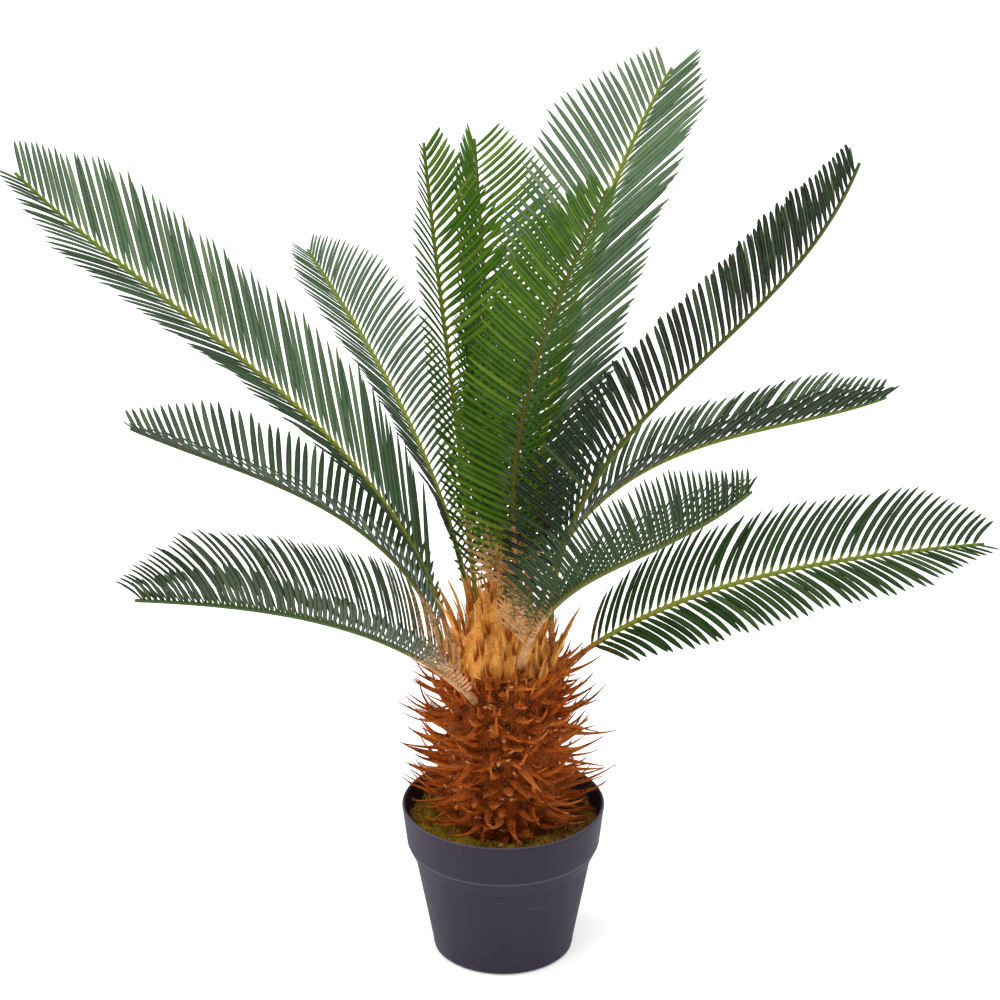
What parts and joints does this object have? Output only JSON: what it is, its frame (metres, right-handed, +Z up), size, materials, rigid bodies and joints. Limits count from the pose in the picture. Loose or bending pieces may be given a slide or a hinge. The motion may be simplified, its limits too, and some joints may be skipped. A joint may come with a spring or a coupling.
{
  "type": "artificial sago palm",
  "caption": "Artificial sago palm in a plain nursery pot, with a flocked trunk, pointed bracts and feathered plastic fronds.",
  "frame": {"origin": "centre of the pot's flat underside", "axes": "+Z up along the pot's axis, +Y to the back of the plant as pictured, +X to its right"},
  "size_m": [0.7913, 0.7165, 0.7553],
  "materials": {
    "pot_plastic": "dark slate, slightly violet moulded plastic, matte with a soft sheen",
    "moss": "dried moss, yellow-green and brown, fully matte",
    "trunk_flock": "rust-orange flock over foam, fibrous and fully matte",
    "crown_flock": "golden flock over plastic, fibrous and fully matte",
    "leaf_plastic": "moulded leaf plastic, deep green with a satin sheen"
  },
  "bodies": {
    "root": {"pot": "pot_plastic", "moss_bed": "moss", "trunk": "trunk_flock", "bract_1": "crown_flock", "bract_2": "crown_flock", "bract_3": "crown_flock", "bract_4": "crown_flock", "bract_5": "crown_flock", "bract_6": "crown_flock", "bract_7": "crown_flock", "bract_8": "crown_flock", "bract_9": "crown_flock", "bract_10": "crown_flock", "frond_left_top": "leaf_plastic", "frond_left_back": "leaf_plastic", "frond_back_left": "leaf_plastic", "frond_back_middle": "leaf_plastic", "frond_centre": "leaf_plastic", "frond_back_right": "leaf_plastic", "frond_right_top": "leaf_plastic", "frond_right_back": "leaf_plastic", "frond_front_right": "leaf_plastic", "frond_right_low": "leaf_plastic", "frond_left_middle": "leaf_plastic", "frond_front_left": "leaf_plastic", "frond_back_low": "leaf_plastic"}
  },
  "joints": []
}
